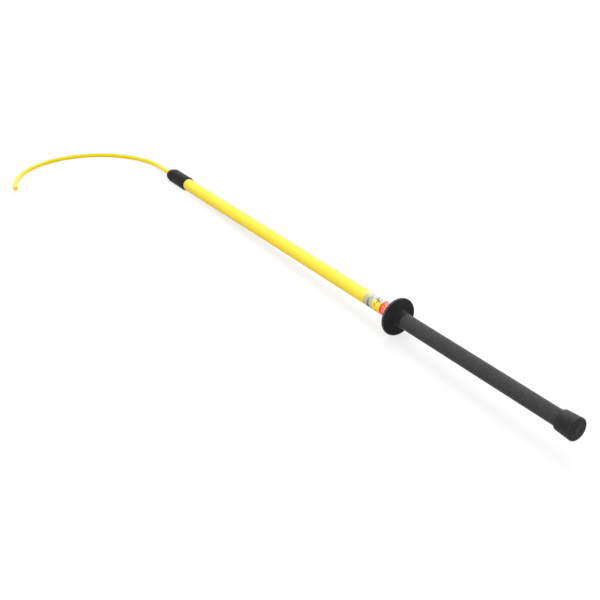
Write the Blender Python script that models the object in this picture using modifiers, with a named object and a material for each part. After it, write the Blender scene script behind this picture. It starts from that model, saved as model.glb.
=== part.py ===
"""Insulated rescue pole: a foam-filled tube with a covered steel hook, hand guard, grip and ferrule.

The pole's axis is X. The origin is the middle of the ferrule's end face, and the hook lies in the
XY plane and bends towards +Y. All sizes are in metres.
"""

import math

import bmesh
import bpy

# Fits
SEAT_GAP = 0.0003
RING_GAP = 0.0002
CUT_MARGIN = 0.005
WELD_DISTANCE = 0.00001

# Insulating tube and its foam
TUBE_RADIUS = 0.016
TUBE_WALL = 0.003
TUBE_LENGTH = 1.556

# Ferrule and its washer
FERRULE_LENGTH = 0.045
FERRULE_FLOOR = 0.0085
FERRULE_MOUTH_RADIUS = 0.0221
FERRULE_FOOT_RADIUS = 0.0246
FERRULE_LIP_WIDTH = 0.0009
FERRULE_LIP_CHAMFER = 0.0012
FERRULE_SHOULDER = 0.0040
SOLE_CROWN = 0.0048
SOLE_DISC_RADIUS = 0.0105
SOLE_DISC_STEP = 0.0008
SOLE_GROOVE_RADII = (0.0146, 0.0187)
SOLE_GROOVE_WIDTH = 0.0014
SOLE_GROOVE_DEPTH = 0.0009
WASHER_RADIUS = 0.0152
WASHER_HOLE_RADIUS = 0.005
WASHER_THICKNESS = 0.002

# Plugs in the two ends of the tube
BUTT_PLUG_LENGTH = 0.026
BUTT_FLANGE = 0.0025
HEAD_PLUG_LENGTH = 0.078
HEAD_FLANGE = 0.003
SEAL_RING_RADIUS = 0.0009
BUTT_SEAL_INSET = 0.012
HEAD_SEAL_OFFSET = 0.026

# Grip and hand guard
GRIP_WALL = 0.0012
GUARD_STATION = 0.539
GUARD_RADIUS = 0.0439
GUARD_THICKNESS = 0.0045
GUARD_RIM_ROUND = 0.0013
HUB_LENGTH = 0.028
HUB_END_RADIUS = 0.0179
HUB_ROOT_RADIUS = 0.0192
HUB_FILLET = 0.0026
HUB_FILLET_HOLLOW = 0.0008
STOP_RING_WALL = 0.0032
STOP_RING_WIDTH = 0.0024

# Labels on the tube, measured from the guard's front face
LABEL_GAP = 0.0002
LABEL_THICKNESS = 0.0003
RED_BAND_OFFSET = 0.0185
RED_BAND_WIDTH = 0.027
RATING_LABEL_WIDTH = 0.0582
MARK_LINE_OFFSET = 0.0022
MARK_LINE_WIDTH = 0.004

# Hook
ROD_RADIUS = 0.0058
CORE_RADIUS = 0.004
SHEATH_WALL = 0.0015
HOOK_STRAIGHT = 0.0769
HOOK_BEND_RADIUS = 0.208
HOOK_OPEN_ANGLE = math.radians(120)
HOOK_OPEN_RADIUS = 0.225
HOOK_SWEEP = math.radians(164.3)
TIP_FLANGE = 0.0018
TIP_RADIUS = 0.0061
TIP_STEM_LENGTH = 0.008
TIP_CHAMFER = 0.0011

# Collar over the joint of hook and tube
COLLAR_OVERLAP = 0.080
COLLAR_WALL = 0.0031
COLLAR_LENGTH = 0.094
COLLAR_NOSE_LENGTH = 0.015
COLLAR_NOSE_RADIUS = 0.015
COLLAR_NOSE_LEAN = 0.0022
COLLAR_NOSE_ROUND = 0.0008
COLLAR_MOUTH_CHAMFER = 0.0009
COLLAR_MOUTH_LENGTH = 0.0035
NOSE_RING_RADIUS = 0.0013

# Fastening of the hook's shank in the head plug
NUT_ACROSS_FLATS = 0.013
NUT_HEIGHT = 0.0065
SHANK_WASHER_RADIUS = 0.008
SHANK_WASHER_THICKNESS = 0.0016
SHANK_END = 0.0018
POCKET_RADIUS = 0.0088
POCKET_DEPTH = 0.0125
PIN_RADIUS = 0.002
PIN_OFFSET = 0.056

# Facets
ROUND_STEPS = 40
RING_STEPS = 32
RING_SIDES = 6
ROD_BEVEL_RESOLUTION = 5
CORE_BEVEL_RESOLUTION = 3
BEND_SEGMENTS = 46
PIN_SIDES = 16
NUT_SIDES = 6
SHOULDER_STEPS = 4
SHARP_ANGLE = math.radians(35)

# Stations along the axis, worked out from the sizes above
WASHER_START = FERRULE_FLOOR + SEAT_GAP
BUTT_PLUG_START = WASHER_START + WASHER_THICKNESS + SEAT_GAP
TUBE_START = BUTT_PLUG_START + BUTT_FLANGE + SEAT_GAP
TUBE_END = TUBE_START + TUBE_LENGTH
BUTT_PLUG_END = TUBE_START + BUTT_PLUG_LENGTH
HEAD_PLUG_START = TUBE_END - HEAD_PLUG_LENGTH
HEAD_FLANGE_START = TUBE_END + SEAT_GAP
HEAD_PLUG_END = HEAD_FLANGE_START + HEAD_FLANGE
SHEATH_START = HEAD_PLUG_END + SEAT_GAP
COLLAR_START = TUBE_END - COLLAR_OVERLAP
COLLAR_END = COLLAR_START + COLLAR_LENGTH
BEND_START = COLLAR_END + HOOK_STRAIGHT
HUB_START = GUARD_STATION - HUB_LENGTH
GUARD_END = GUARD_STATION + GUARD_THICKNESS
RED_BAND_START = GUARD_END + RED_BAND_OFFSET
RATING_LABEL_START = RED_BAND_START + RED_BAND_WIDTH + SEAT_GAP
MARK_LINE_START = RATING_LABEL_START + RATING_LABEL_WIDTH + MARK_LINE_OFFSET
POCKET_FLOOR = HEAD_PLUG_START + POCKET_DEPTH
SHANK_WASHER_START = POCKET_FLOOR - SEAT_GAP - SHANK_WASHER_THICKNESS
NUT_START = SHANK_WASHER_START - SEAT_GAP - NUT_HEIGHT
CORE_START = NUT_START - SHANK_END
PIN_STATION = HEAD_PLUG_START + PIN_OFFSET

# Radii worked out from the sizes above
TUBE_BORE = TUBE_RADIUS - TUBE_WALL
PLUG_RADIUS = TUBE_BORE - SEAT_GAP
SLEEVE_BORE = TUBE_RADIUS + SEAT_GAP
GRIP_RADIUS = SLEEVE_BORE + GRIP_WALL
SOCKET_RADIUS = GRIP_RADIUS + SEAT_GAP
STOP_RING_RADIUS = SLEEVE_BORE + STOP_RING_WALL
COLLAR_RADIUS = SLEEVE_BORE + COLLAR_WALL
ROD_HOLE_RADIUS = ROD_RADIUS + SEAT_GAP
SHANK_HOLE_RADIUS = CORE_RADIUS + SEAT_GAP
SHEATH_BORE = ROD_RADIUS - SHEATH_WALL
SEAL_RING_OUTER = TUBE_BORE - RING_GAP
SEAL_GROOVE_FLOOR = SEAL_RING_OUTER - 2 * SEAL_RING_RADIUS - RING_GAP


def clear_scene():
    """Remove every object, so that the script can run again in one file."""
    for item in list(bpy.data.objects):
        bpy.data.objects.remove(item, do_unlink=True)


def new_collection(name):
    """Add a collection to the scene and return it."""
    group = bpy.data.collections.new(name)
    bpy.context.scene.collection.children.link(group)
    return group


def make_material(name, colour, roughness, metallic=0.0):
    """Return a Principled material of one colour."""
    material = bpy.data.materials.new(name)
    material.use_nodes = True
    shader = material.node_tree.nodes["Principled BSDF"]
    shader.inputs["Base Color"].default_value = (*colour, 1.0)
    shader.inputs["Roughness"].default_value = roughness
    shader.inputs["Metallic"].default_value = metallic
    return material


def move_to(item, collection):
    """Keep an object in one collection only."""
    for group in list(item.users_collection):
        group.objects.unlink(item)
    collection.objects.link(item)


def evaluated_mesh(item):
    """Return a new mesh of the object with its modifiers in it."""
    depsgraph = bpy.context.evaluated_depsgraph_get()
    return bpy.data.meshes.new_from_object(item.evaluated_get(depsgraph))


def shade_round(mesh):
    """Smooth the shading, but keep real edges sharp."""
    mesh.shade_smooth()
    mesh.set_sharp_from_angle(angle=SHARP_ANGLE)


def dress(item, collection, material):
    """Put a finished piece in its collection, with its material and shading."""
    move_to(item, collection)
    item.data.materials.clear()
    item.data.materials.append(material)
    shade_round(item.data)
    return item


def lay_on_axis(item, station):
    """Turn a piece modelled along its own Z so that it lies along X from a station."""
    item.location = (station, 0.0, 0.0)
    item.rotation_euler = (0.0, math.pi / 2, 0.0)


def turned(name, profile, station=0.0, closed=True, steps=ROUND_STEPS):
    """Turn a profile of (radius, station) points about the axis.

    The profile runs from the hook's end to the butt along the outer side. A ring's profile goes
    back along the inner side and closes; a solid's begins and ends on the axis.
    """
    mesh = bpy.data.meshes.new(name)
    points = [(radius, 0.0, place - station) for radius, place in profile]
    edges = [(index, index + 1) for index in range(len(points) - 1)]
    if closed:
        edges.append((len(points) - 1, 0))
    mesh.from_pydata(points, edges, [])
    item = bpy.data.objects.new(name, mesh)
    bpy.context.scene.collection.objects.link(item)
    screw = item.modifiers.new("turn", "SCREW")
    screw.axis = "Z"
    screw.angle = 2 * math.pi
    screw.steps = steps
    screw.render_steps = steps
    screw.use_merge_vertices = True
    screw.merge_threshold = WELD_DISTANCE
    turned_mesh = evaluated_mesh(item)
    item.modifiers.clear()
    item.data = turned_mesh
    turned_mesh.name = name
    lay_on_axis(item, station)
    return item


def pipe(name, outer, inner, start, end, steps=ROUND_STEPS):
    """Return a plain round pipe between two stations."""
    profile = [(outer, end), (outer, start), (inner, start), (inner, end)]
    return turned(name, profile, start, steps=steps)


def solid_bar(name, radius, start, end, steps=ROUND_STEPS):
    """Return a plain round bar between two stations."""
    profile = [(0.0, end), (radius, end), (radius, start), (0.0, start)]
    return turned(name, profile, start, closed=False, steps=steps)


def seal_ring(name, major, minor, station):
    """Return a round rubber ring about the axis."""
    bpy.ops.mesh.primitive_torus_add(
        major_radius=major,
        minor_radius=minor,
        major_segments=RING_STEPS,
        minor_segments=RING_SIDES,
        location=(station, 0.0, 0.0),
        rotation=(0.0, math.pi / 2, 0.0),
    )
    item = bpy.context.object
    item.name = name
    return item


def cut(item, cutter, collection):
    """Cut one mesh object with another, which stays as a hidden guide."""
    move_to(cutter, collection)
    cutter.hide_render = True
    cutter.display_type = "WIRE"
    boolean = item.modifiers.new("cut_" + cutter.name, "BOOLEAN")
    boolean.operation = "DIFFERENCE"
    boolean.solver = "EXACT"
    boolean.object = cutter


def pin_cutter(name, radius, collection):
    """Return an upright cutter for the cross pin's hole."""
    bpy.ops.mesh.primitive_cylinder_add(
        vertices=PIN_SIDES,
        radius=radius,
        depth=4 * TUBE_RADIUS,
        location=(PIN_STATION, 0.0, 0.0),
    )
    cutter = bpy.context.object
    cutter.name = name
    move_to(cutter, collection)
    return cutter


def bend_point(angle):
    """Return the rod's centre at an angle round the bend, which opens out near its tip."""
    tight = min(angle, HOOK_OPEN_ANGLE)
    along = BEND_START + HOOK_BEND_RADIUS * math.sin(tight)
    across = HOOK_BEND_RADIUS * (1.0 - math.cos(tight))
    along += HOOK_OPEN_RADIUS * (math.sin(angle) - math.sin(tight))
    across += HOOK_OPEN_RADIUS * (math.cos(tight) - math.cos(angle))
    return (along, across, 0.0)


def hook_points(start, sweep):
    """Return points along the rod's centre line, from a station to an angle round the bend."""
    points = [(start, 0.0, 0.0)]
    segments = max(2, round(BEND_SEGMENTS * sweep / HOOK_SWEEP))
    for index in range(segments + 1):
        points.append(bend_point(sweep * index / segments))
    return points


def rod(name, points, radius, resolution, caps):
    """Return a mesh rod along a list of points."""
    curve = bpy.data.curves.new(name, "CURVE")
    curve.dimensions = "3D"
    curve.bevel_depth = radius
    curve.bevel_resolution = resolution
    curve.use_fill_caps = caps
    spline = curve.splines.new("POLY")
    spline.points.add(len(points) - 1)
    for place, point in zip(spline.points, points):
        place.co = (*point, 1.0)
    guide = bpy.data.objects.new(name + "_line", curve)
    bpy.context.scene.collection.objects.link(guide)
    mesh = evaluated_mesh(guide)
    weld = bmesh.new()
    weld.from_mesh(mesh)
    bmesh.ops.remove_doubles(weld, verts=weld.verts, dist=WELD_DISTANCE)
    bmesh.ops.recalc_face_normals(weld, faces=weld.faces)
    weld.to_mesh(mesh)
    weld.free()
    item = bpy.data.objects.new(name, mesh)
    item.matrix_world = guide.matrix_world
    bpy.context.scene.collection.objects.link(item)
    bpy.data.objects.remove(guide, do_unlink=True)
    return item


def sole_depth(radius):
    """Return how far the domed sole lies behind its flat disc at a radius."""
    share = min(1.0, radius / FERRULE_FOOT_RADIUS)
    return SOLE_DISC_STEP + SOLE_CROWN * share * share


def sole_profile():
    """Return the ferrule's end, from the shoulder in to the flat disc."""
    half = SOLE_GROOVE_WIDTH / 2
    edge = FERRULE_FOOT_RADIUS - FERRULE_SHOULDER / 2
    points = [(edge, sole_depth(edge))]
    for radius in reversed(SOLE_GROOVE_RADII):
        floor = sole_depth(radius) + SOLE_GROOVE_DEPTH
        points.append((radius + half, sole_depth(radius + half)))
        points.append((radius + half / 2, floor))
        points.append((radius - half / 2, floor))
        points.append((radius - half, sole_depth(radius - half)))
    rim = SOLE_DISC_RADIUS + SOLE_DISC_STEP
    points.append((rim, sole_depth(rim)))
    points.append((SOLE_DISC_RADIUS, 0.0))
    points.append((0.0, 0.0))
    return points


def shoulder_profile():
    """Return the round shoulder between the ferrule's side and its sole."""
    across = FERRULE_SHOULDER / 2
    inner = FERRULE_FOOT_RADIUS - across
    front = sole_depth(inner)
    points = []
    for index in range(SHOULDER_STEPS):
        angle = math.pi / 2 * index / SHOULDER_STEPS
        radius = inner + across * math.cos(angle)
        place = front + FERRULE_SHOULDER * (1.0 - math.sin(angle))
        points.append((radius, place))
    return points


def build_ferrule(parts, rubber, steel):
    """Rubber ferrule that pushes over the grip's end, with a steel washer on its floor."""
    lip = SOCKET_RADIUS + FERRULE_LIP_WIDTH
    profile = [(0.0, FERRULE_FLOOR), (SOCKET_RADIUS, FERRULE_FLOOR), (SOCKET_RADIUS, FERRULE_LENGTH)]
    profile.append((lip, FERRULE_LENGTH))
    profile.append((FERRULE_MOUTH_RADIUS, FERRULE_LENGTH - FERRULE_LIP_CHAMFER))
    profile += shoulder_profile()
    profile += sole_profile()
    ferrule = turned("ferrule", profile, closed=False)
    dress(ferrule, parts, rubber)
    washer = pipe(
        "ferrule_washer",
        WASHER_RADIUS,
        WASHER_HOLE_RADIUS,
        WASHER_START,
        WASHER_START + WASHER_THICKNESS,
        RING_STEPS,
    )
    dress(washer, parts, steel)


def build_tube(parts, cutters, glass_fibre, foam):
    """Insulating tube with its foam filling between the two plugs."""
    tube = pipe("pole_tube", TUBE_RADIUS, TUBE_BORE, TUBE_START, TUBE_END)
    dress(tube, parts, glass_fibre)
    cut(tube, pin_cutter("pin_hole_in_tube", PIN_RADIUS + SEAT_GAP, cutters), cutters)
    filling = solid_bar("foam_core", PLUG_RADIUS, BUTT_PLUG_END + SEAT_GAP, HEAD_PLUG_START - SEAT_GAP)
    dress(filling, parts, foam)


def ring_groove(station):
    """Return the outer points of a plug's groove for its seal ring, hook's side first."""
    half = SEAL_RING_RADIUS + SEAT_GAP
    return [
        (PLUG_RADIUS, station + half),
        (SEAL_GROOVE_FLOOR, station + half),
        (SEAL_GROOVE_FLOOR, station - half),
        (PLUG_RADIUS, station - half),
    ]


def groove_ring(name, station, parts, rubber):
    """Seal ring that sits in a plug's groove and meets the tube's bore."""
    ring = seal_ring(name, SEAL_RING_OUTER - SEAL_RING_RADIUS, SEAL_RING_RADIUS, station)
    dress(ring, parts, rubber)


def build_butt_plug(parts, plastic, rubber):
    """Plug that closes the butt end of the tube and keeps water out of the foam."""
    station = TUBE_START + BUTT_SEAL_INSET
    profile = [(0.0, BUTT_PLUG_END), (PLUG_RADIUS, BUTT_PLUG_END)]
    profile += ring_groove(station)
    profile += [
        (PLUG_RADIUS, BUTT_PLUG_START + BUTT_FLANGE),
        (TUBE_RADIUS, BUTT_PLUG_START + BUTT_FLANGE),
        (TUBE_RADIUS, BUTT_PLUG_START),
        (0.0, BUTT_PLUG_START),
    ]
    dress(turned("butt_plug", profile, BUTT_PLUG_START, closed=False), parts, plastic)
    groove_ring("butt_seal_ring", station, parts, rubber)


def build_head_plug(parts, cutters, plastic, rubber):
    """Bored plug that holds the hook's shank in the tube."""
    station = HEAD_PLUG_START + HEAD_SEAL_OFFSET
    profile = [(TUBE_RADIUS, HEAD_PLUG_END), (TUBE_RADIUS, HEAD_FLANGE_START)]
    profile.append((PLUG_RADIUS, HEAD_FLANGE_START))
    profile += ring_groove(station)
    profile += [
        (PLUG_RADIUS, HEAD_PLUG_START),
        (POCKET_RADIUS, HEAD_PLUG_START),
        (POCKET_RADIUS, POCKET_FLOOR),
        (SHANK_HOLE_RADIUS, POCKET_FLOOR),
        (SHANK_HOLE_RADIUS, HEAD_PLUG_END),
    ]
    plug = dress(turned("head_plug", profile, HEAD_PLUG_START), parts, plastic)
    cut(plug, pin_cutter("pin_hole_in_plug", PIN_RADIUS + SEAT_GAP, cutters), cutters)
    groove_ring("head_seal_ring", station, parts, rubber)


def build_grip(parts, rubber):
    """Grip sleeve from the tube's butt end to the guard's hub."""
    sleeve = pipe("grip_sleeve", GRIP_RADIUS, SLEEVE_BORE, TUBE_START, HUB_START - SEAT_GAP)
    dress(sleeve, parts, rubber)


def build_guard(parts, rubber, plastic):
    """Hand guard: a round disc with a hub, seated against a stop ring on the tube."""
    recess_floor = GUARD_END - STOP_RING_WIDTH - SEAT_GAP
    recess_radius = STOP_RING_RADIUS + SEAT_GAP
    round_off = GUARD_RIM_ROUND
    profile = [
        (recess_radius, GUARD_END),
        (GUARD_RADIUS - round_off, GUARD_END),
        (GUARD_RADIUS, GUARD_END - round_off),
        (GUARD_RADIUS, GUARD_STATION + round_off),
        (GUARD_RADIUS - round_off, GUARD_STATION),
        (HUB_ROOT_RADIUS + HUB_FILLET, GUARD_STATION),
        (HUB_ROOT_RADIUS + HUB_FILLET_HOLLOW, GUARD_STATION - HUB_FILLET_HOLLOW),
        (HUB_ROOT_RADIUS, GUARD_STATION - HUB_FILLET),
        (HUB_END_RADIUS, HUB_START),
        (SLEEVE_BORE, HUB_START),
        (SLEEVE_BORE, recess_floor),
        (recess_radius, recess_floor),
    ]
    dress(turned("hand_guard", profile, HUB_START), parts, rubber)
    ring = pipe("guard_stop_ring", STOP_RING_RADIUS, SLEEVE_BORE, GUARD_END - STOP_RING_WIDTH, GUARD_END)
    dress(ring, parts, plastic)


def build_labels(parts, red_film, white_film):
    """Red band, rating label and fine line, wrapped round the tube in front of the guard."""
    inner = TUBE_RADIUS + LABEL_GAP
    outer = inner + LABEL_THICKNESS
    films = (
        ("red_band", RED_BAND_START, RED_BAND_WIDTH, red_film),
        ("rating_label", RATING_LABEL_START, RATING_LABEL_WIDTH, white_film),
        ("mark_line", MARK_LINE_START, MARK_LINE_WIDTH, white_film),
    )
    for name, start, width, material in films:
        dress(pipe(name, outer, inner, start, start + width), parts, material)


def lean_nose(item):
    """Lean the collar's nose towards the inner side of the hook's bend."""
    shoulder = COLLAR_LENGTH - COLLAR_NOSE_LENGTH
    for vertex in item.data.vertices:
        share = max(0.0, (vertex.co.z - shoulder) / COLLAR_NOSE_LENGTH)
        vertex.co.y += COLLAR_NOSE_LEAN * share


def build_collar(parts, cutters, plastic, rubber):
    """Moulded collar over the tube's end and the hook's shank, with a seal ring inside."""
    shoulder = COLLAR_END - COLLAR_NOSE_LENGTH
    round_off = COLLAR_NOSE_ROUND
    outer = [
        (0.0, COLLAR_END),
        (COLLAR_NOSE_RADIUS - round_off, COLLAR_END),
        (COLLAR_NOSE_RADIUS, COLLAR_END - round_off),
        (COLLAR_RADIUS, shoulder),
        (COLLAR_RADIUS, COLLAR_START + COLLAR_MOUTH_LENGTH),
        (COLLAR_RADIUS - COLLAR_MOUTH_CHAMFER, COLLAR_START),
        (0.0, COLLAR_START),
    ]
    collar = turned("head_collar", outer, COLLAR_START, closed=False)
    lean_nose(collar)
    dress(collar, parts, plastic)
    ring_minor = NOSE_RING_RADIUS
    ring_major = ROD_HOLE_RADIUS + ring_minor
    ring_seat = ring_major + ring_minor + SEAT_GAP
    ring_depth = 2 * ring_minor + SEAT_GAP
    bore = [
        (0.0, COLLAR_END + CUT_MARGIN),
        (ROD_HOLE_RADIUS, COLLAR_END + CUT_MARGIN),
        (ROD_HOLE_RADIUS, SHEATH_START + ring_depth),
        (ring_seat, SHEATH_START + ring_depth),
        (ring_seat, SHEATH_START),
        (SLEEVE_BORE, SHEATH_START),
        (SLEEVE_BORE, COLLAR_START - CUT_MARGIN),
        (0.0, COLLAR_START - CUT_MARGIN),
    ]
    cut(collar, turned("collar_bore", bore, COLLAR_START, closed=False), cutters)
    dress(seal_ring("nose_seal_ring", ring_major, ring_minor, SHEATH_START + ring_minor), parts, rubber)


def build_hook(parts, cutters, steel, sheath_plastic):
    """Steel rod, bent to a hook, in a plastic sheath with a plug at its tip."""
    line = hook_points(SHEATH_START, HOOK_SWEEP)
    sheath = rod("hook_sheath", line, ROD_RADIUS, ROD_BEVEL_RESOLUTION, False)
    dress(sheath, parts, sheath_plastic)
    wall = sheath.modifiers.new("wall", "SOLIDIFY")
    wall.thickness = SHEATH_WALL
    wall.offset = -1.0
    core_sweep = HOOK_SWEEP - (TIP_STEM_LENGTH + SEAT_GAP) / HOOK_OPEN_RADIUS
    core = rod("hook_core", hook_points(CORE_START, core_sweep), CORE_RADIUS, CORE_BEVEL_RESOLUTION, True)
    dress(core, parts, steel)
    cut(core, pin_cutter("pin_hole_in_core", PIN_RADIUS + SEAT_GAP, cutters), cutters)
    stem_radius = SHEATH_BORE - SEAT_GAP
    profile = [
        (0.0, TIP_FLANGE + SEAT_GAP),
        (TIP_RADIUS - TIP_CHAMFER, TIP_FLANGE + SEAT_GAP),
        (TIP_RADIUS, TIP_FLANGE + SEAT_GAP - TIP_CHAMFER),
        (TIP_RADIUS, SEAT_GAP),
        (stem_radius, SEAT_GAP),
        (stem_radius, -TIP_STEM_LENGTH),
        (0.0, -TIP_STEM_LENGTH),
    ]
    tip = turned("hook_tip_plug", profile, closed=False, steps=RING_STEPS)
    before, end = line[-2:]
    heading = math.atan2(end[1] - before[1], end[0] - before[0])
    tip.location = end
    tip.rotation_euler = (0.0, math.pi / 2, heading)
    dress(tip, parts, sheath_plastic)


def build_fasteners(parts, steel):
    """Nut, washer and cross pin that hold the hook's shank in the head plug."""
    washer = pipe(
        "shank_washer",
        SHANK_WASHER_RADIUS,
        SHANK_HOLE_RADIUS,
        SHANK_WASHER_START,
        SHANK_WASHER_START + SHANK_WASHER_THICKNESS,
        RING_STEPS,
    )
    dress(washer, parts, steel)
    to_corner = 1.0 / math.cos(math.pi / NUT_SIDES)
    nut_corner = NUT_ACROSS_FLATS / 2 * to_corner
    nut_hole = SHANK_HOLE_RADIUS * to_corner
    nut = pipe("shank_nut", nut_corner, nut_hole, NUT_START, NUT_START + NUT_HEIGHT, NUT_SIDES)
    dress(nut, parts, steel)
    bpy.ops.mesh.primitive_cylinder_add(
        vertices=PIN_SIDES,
        radius=PIN_RADIUS,
        depth=2 * (TUBE_RADIUS - SEAT_GAP),
        location=(PIN_STATION, 0.0, 0.0),
    )
    pin = bpy.context.object
    pin.name = "cross_pin"
    dress(pin, parts, steel)


def main():
    """Build every piece of the pole."""
    clear_scene()
    parts = new_collection("rescue_pole")
    cutters = new_collection("cutters")
    glass_fibre = make_material("yellow_glass_fibre", (0.95, 0.72, 0.03), 0.35)
    sheath_plastic = make_material("yellow_sheath", (0.93, 0.62, 0.01), 0.35)
    black_rubber = make_material("black_rubber", (0.022, 0.022, 0.022), 0.75)
    grip_rubber = make_material("grip_rubber", (0.045, 0.045, 0.047), 0.7)
    black_plastic = make_material("black_plastic", (0.03, 0.03, 0.032), 0.5)
    plug_plastic = make_material("plug_plastic", (0.05, 0.05, 0.05), 0.45)
    foam = make_material("cream_foam", (0.8, 0.7, 0.45), 0.9)
    steel = make_material("zinc_steel", (0.55, 0.55, 0.57), 0.3, 1.0)
    red_film = make_material("red_film", (0.75, 0.04, 0.03), 0.4)
    white_film = make_material("white_film", (0.8, 0.8, 0.78), 0.4)
    build_ferrule(parts, black_rubber, steel)
    build_tube(parts, cutters, glass_fibre, foam)
    build_butt_plug(parts, plug_plastic, black_rubber)
    build_head_plug(parts, cutters, plug_plastic, black_rubber)
    build_grip(parts, grip_rubber)
    build_guard(parts, black_rubber, black_plastic)
    build_labels(parts, red_film, white_film)
    build_collar(parts, cutters, black_plastic, black_rubber)
    build_hook(parts, cutters, steel, sheath_plastic)
    build_fasteners(parts, steel)


main()
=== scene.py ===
"""Looks of the insulated rescue pole: meshes, finishes, studio light and camera.

The pole's axis is X, from the ferrule's end at the origin to the hook, which bends towards +Y.
Lengths are in metres, and pattern sizes are in millimetres.
"""

import logging
import math
from dataclasses import dataclass
from enum import Enum
from typing import Any

import bmesh
import bpy
from mathutils import Matrix, Vector


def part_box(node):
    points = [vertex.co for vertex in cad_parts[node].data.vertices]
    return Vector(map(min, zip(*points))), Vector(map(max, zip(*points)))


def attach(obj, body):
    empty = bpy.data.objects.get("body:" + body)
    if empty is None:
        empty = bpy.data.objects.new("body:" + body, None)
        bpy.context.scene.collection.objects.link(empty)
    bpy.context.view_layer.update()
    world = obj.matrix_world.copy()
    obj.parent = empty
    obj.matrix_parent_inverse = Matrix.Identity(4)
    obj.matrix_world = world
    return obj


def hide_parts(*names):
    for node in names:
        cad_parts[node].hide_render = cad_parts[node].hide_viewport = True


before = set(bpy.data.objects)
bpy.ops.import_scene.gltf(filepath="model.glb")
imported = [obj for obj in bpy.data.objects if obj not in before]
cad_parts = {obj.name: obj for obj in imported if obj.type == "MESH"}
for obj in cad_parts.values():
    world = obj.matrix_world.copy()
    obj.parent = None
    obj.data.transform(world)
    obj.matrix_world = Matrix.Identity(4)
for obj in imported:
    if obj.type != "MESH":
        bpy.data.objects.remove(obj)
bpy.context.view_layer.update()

LOG = logging.getLogger("rescue_pole")
SHADER = "Principled BSDF"
WHITE = (1.0, 1.0, 1.0, 1.0)
# The vertex attribute of worn corners, which also carries the painted highlight of the guard's rim
# and of the grip's rib tops
EDGE_WEAR_AND_LIGHT = "edge_wear_and_light"
ROD_PLACE = "rod_place"
ARC_STEPS = 5
SHARP_ANGLE = math.radians(42)
MM = 0.001

# The bore of the grip, the guard and the collar, which all sit on the tube
SLEEVE_BORE = 0.0163

# How far the wear of a rounded corner fades out on its two sides
WEAR_REACH = 0.7 * MM

# How strong each finer layer of a pattern is
FINE_LAYERS = 0.55

# Sockets of a Mix node in colour mode, which share their names with those of its other modes
MIX_FACTOR = 0
MIX_FIRST = 6
MIX_SECOND = 7
MIX_RESULT = 2

Mesh = bpy.types.Mesh
Tree = bpy.types.NodeTree
Socket = bpy.types.NodeSocket
Ring = list[bmesh.types.BMVert]
Value = Socket | float | tuple[float, ...]

# A finish's colour, the patches that its roughness follows, and its relief
Layers = tuple[Socket, Socket, Socket]


class Body(Enum):
    """The bodies that pieces ride on."""

    POLE = "pole"
    FERRULE = "ferrule"


class MarkShape(Enum):
    """The shapes that are printed on the labels."""

    BAR = "bar"
    DISC = "disc"


def linear(colour: str) -> tuple[float, float, float, float]:
    """Turn an sRGB hex colour into a linear one.

    Args:
        colour: the colour as #RRGGBB.

    Returns:
        Red, green, blue and alpha, from 0 to 1.
    """
    channels = [int(colour[place : place + 2], 16) / 255 for place in (1, 3, 5)]
    turned = [c / 12.92 if c <= 0.04045 else ((c + 0.055) / 1.055) ** 2.4 for c in channels]
    return (turned[0], turned[1], turned[2], 1.0)


def add_node(
    tree: Tree, kind: str, inputs: dict[int | str, Value] | None = None, **settings: Any
) -> bpy.types.Node:
    """Add one node to a tree, with its settings and links.

    Args:
        tree: the tree that gets the node.
        kind: Blender's name of the node's type, without its ShaderNode.
        inputs: a socket to link or a value to set, for each input by name or number.
        settings: properties of the node, set before its inputs.

    Returns:
        The new node.
    """
    node = tree.nodes.new(f"ShaderNode{kind}")
    for name, setting in settings.items():
        setattr(node, name, setting)
    for key, value in (inputs or {}).items():
        if isinstance(value, Socket):
            tree.links.new(value, node.inputs[key])
        else:
            node.inputs[key].default_value = value
    return node


@dataclass(frozen=True)
class Pattern:
    """An uneven pattern: how long its patches are, and the noise levels that give 0 and 1."""

    size_mm: tuple[float, float, float]
    low: float
    high: float
    detail: float = 3.0

    def mask(self, tree: Tree, place: Socket) -> Socket:
        """Make the pattern's mask.

        Args:
            tree: the material's nodes.
            place: where on the piece, in metres.

        Returns:
            A factor from 0 to 1.
        """
        scale = tuple(1.0 / (size * MM) for size in self.size_mm)
        scaled = add_node(tree, "Mapping", {"Vector": place, "Scale": scale}).outputs[0]
        settings = {"Vector": scaled, "Scale": 1.0, "Detail": self.detail, "Roughness": FINE_LAYERS}
        noise = add_node(tree, "TexNoise", settings)
        levels = {"Value": noise.outputs[0], "From Min": self.low, "From Max": self.high}
        return add_node(tree, "MapRange", levels).outputs[0]


def even(size_mm: float, low: float, high: float, detail: float = 3.0) -> Pattern:
    """Return a pattern whose patches are as wide as they are long."""
    return Pattern((size_mm, size_mm, size_mm), low, high, detail)


def lay_over(
    tree: Tree, under: Value, over: str, mask: Socket, share: Value = 1.0
) -> Socket:
    """Lay one colour over another where a mask is high.

    Args:
        tree: the material's nodes.
        under: the colour below.
        over: the colour on top, as #RRGGBB.
        mask: where it lies, from 0 to 1.
        share: how much of it shows where the mask is 1.

    Returns:
        The colour of both together.
    """
    amount = add_node(tree, "Math", {0: mask, 1: share}, operation="MULTIPLY")
    layers = {MIX_FACTOR: amount.outputs[0], MIX_FIRST: under, MIX_SECOND: linear(over)}
    return add_node(tree, "Mix", layers, data_type="RGBA").outputs[MIX_RESULT]


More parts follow.
